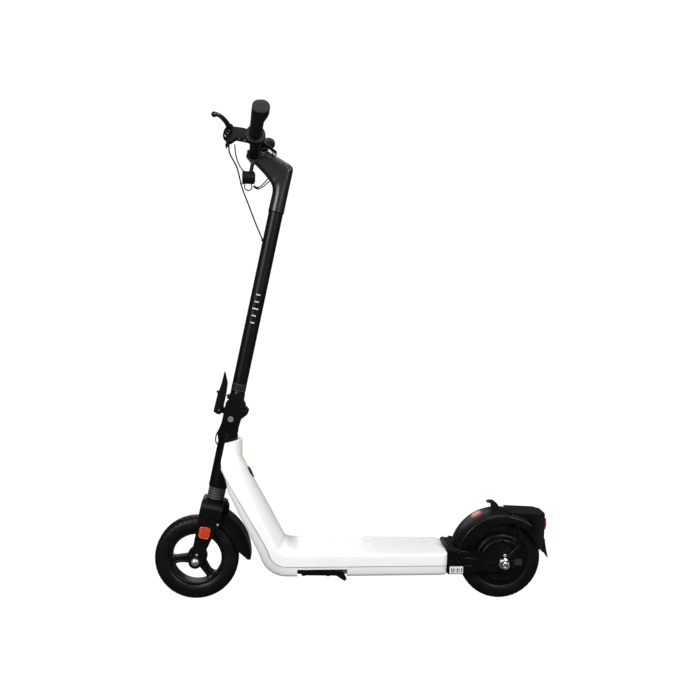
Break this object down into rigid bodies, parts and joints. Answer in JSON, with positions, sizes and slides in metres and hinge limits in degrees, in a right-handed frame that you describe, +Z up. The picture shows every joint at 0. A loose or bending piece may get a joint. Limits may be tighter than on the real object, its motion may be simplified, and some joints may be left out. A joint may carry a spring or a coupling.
{
  "type": "electric kick scooter",
  "caption": "Folding electric kick scooter with a sprung front fork, rear hub motor, raised bars with brake lever and throttle, kickstand, lamps, and hooped rear mudguard.",
  "frame": {"origin": "on the ground, below the middle of the overall length and width", "axes": "+X forward, +Y the rider's left, +Z up"},
  "size_m": [0.974, 0.465, 1.1562],
  "materials": {
    "white_paint": "satin",
    "grey_plastic": "matte",
    "black_metal": "satin",
    "black_alloy": "satin",
    "steel": "satin",
    "chrome": "polished",
    "alloy": "satin",
    "battery_wrap": "satin",
    "copper_winding": "satin",
    "black_plastic": "matte",
    "fender_plastic": "satin",
    "black_gloss": "gloss",
    "black_rubber": "matte",
    "grip_rubber": "matte",
    "tyre": "matte",
    "red_lens": "gloss",
    "orange_lens": "gloss",
    "clear_lens": "gloss",
    "label_film": "satin"
  },
  "bodies": {
    "frame": {"frame_shell": "white_paint", "bottom_cover": "grey_plastic", "head_tube": "black_metal", "headset_bearings": "steel", "battery_pack": "battery_wrap", "motor_controller": "alloy", "charge_port": "black_plastic", "blank_labels": "label_film", "kickstand_bracket": "black_metal", "rear_block": "black_plastic", "rear_arms": "black_metal", "rear_axle": "steel", "motor_stator": "copper_winding", "rear_axle_nuts": "chrome", "rear_fender": "fender_plastic", "tail_housing": "fender_plastic", "tail_lens": "red_lens", "fender_reflector": "red_lens", "mud_flap": "black_rubber", "fold_hook": "black_plastic", "brake_caliper": "black_metal", "cover_screws": "steel"},
    "charge_cap": {"charge_cap": "black_rubber"},
    "kickstand": {"kickstand": "black_metal"},
    "rear_wheel": {"motor_shell": "black_metal", "motor_covers": "black_metal", "rear_tyre": "tyre", "motor_magnets": "steel", "brake_disc": "steel"},
    "steering": {"steerer_tube": "steel", "hinge_base": "black_metal", "hinge_pins": "steel", "loop_cable": "black_rubber"},
    "fork": {"fork_crown": "black_metal", "fork_stanchion": "steel", "fork_legs": "black_metal", "fork_spring": "steel", "fork_bellows": "black_rubber", "front_mudguard": "fender_plastic", "front_axle": "steel", "fork_reflectors": "orange_lens"},
    "front_wheel": {"front_tyre": "tyre", "front_rim": "black_alloy", "front_bearings": "steel"},
    "stem": {"stem_hinge": "black_alloy", "stem_tube": "black_alloy", "gooseneck": "black_alloy", "handlebar": "black_alloy", "grips": "grip_rubber", "lever_perch": "black_alloy", "throttle_housing": "black_plastic", "display_unit": "black_gloss", "headlight": "black_plastic", "headlight_lens": "clear_lens", "brake_cable": "black_rubber", "lamp_wires": "black_rubber"},
    "latch": {"latch_lever": "black_alloy"},
    "brake_lever": {"brake_lever": "black_alloy"},
    "throttle": {"throttle_paddle": "black_plastic"},
    "power_button": {"power_button": "black_plastic"}
  },
  "joints": [
    {"name": "steering", "type": "hinge", "parent": "frame", "child": "steering", "pos_m": [0.39151, 0, 0], "axis": [-0.193, 0, 0.9812], "range_deg": [-60, 60]},
    {"name": "fork_slide", "type": "slide", "parent": "steering", "child": "fork", "axis": [-0.193, 0, 0.9812], "range_m": [0, 0.012], "stiffness_N_per_m": 12000, "springref_m": -0.015, "deforming": ["fork_spring", "fork_bellows"]},
    {"name": "front_wheel_spin", "type": "hinge", "parent": "fork", "child": "front_wheel", "pos_m": [0.3855, 0, 0.1015], "axis": [0, 1, 0], "continuous": true},
    {"name": "rear_wheel_spin", "type": "hinge", "parent": "frame", "child": "rear_wheel", "pos_m": [-0.3635, 0, 0.1015], "axis": [0, 1, 0], "continuous": true},
    {"name": "stem_fold", "type": "hinge", "parent": "steering", "child": "stem", "pos_m": [0.27327, 0, 0.4611], "axis": [0, -1, 0], "range_deg": [0, 97]},
    {"name": "latch_swing", "type": "hinge", "parent": "steering", "child": "latch", "pos_m": [0.33565, 0, 0.46522], "axis": [0, 1, 0], "range_deg": [0, 70]},
    {"name": "brake_squeeze", "type": "hinge", "parent": "stem", "child": "brake_lever", "pos_m": [0.31217, 0.09984, 1.11589], "axis": [-0.171, -0.284, 0.9435], "range_deg": [0, 28], "stiffness_Nm_per_rad": 0.6, "springref_deg": -28.65},
    {"name": "throttle_turn", "type": "hinge", "parent": "stem", "child": "throttle", "pos_m": [0.25399, -0.09106, 1.1027], "axis": [-0.1025, -0.9575, 0.2697], "range_deg": [0, 30], "stiffness_Nm_per_rad": 0.3, "springref_deg": -22.92},
    {"name": "power_press", "type": "slide", "parent": "stem", "child": "power_button", "axis": [0.5754, 0, -0.8179], "range_m": [0, 0.0012], "stiffness_N_per_m": 300, "springref_m": -0.002},
    {"name": "charge_cap_open", "type": "hinge", "parent": "frame", "child": "charge_cap", "pos_m": [0.25108, 0, 0.30152], "axis": [0, -1, 0], "range_deg": [0, 110]},
    {"name": "kickstand_swing", "type": "hinge", "parent": "frame", "child": "kickstand", "pos_m": [0.12541, 0.072, 0.086], "axis": [0, -1, 0], "range_deg": [0, 125]}
  ]
}
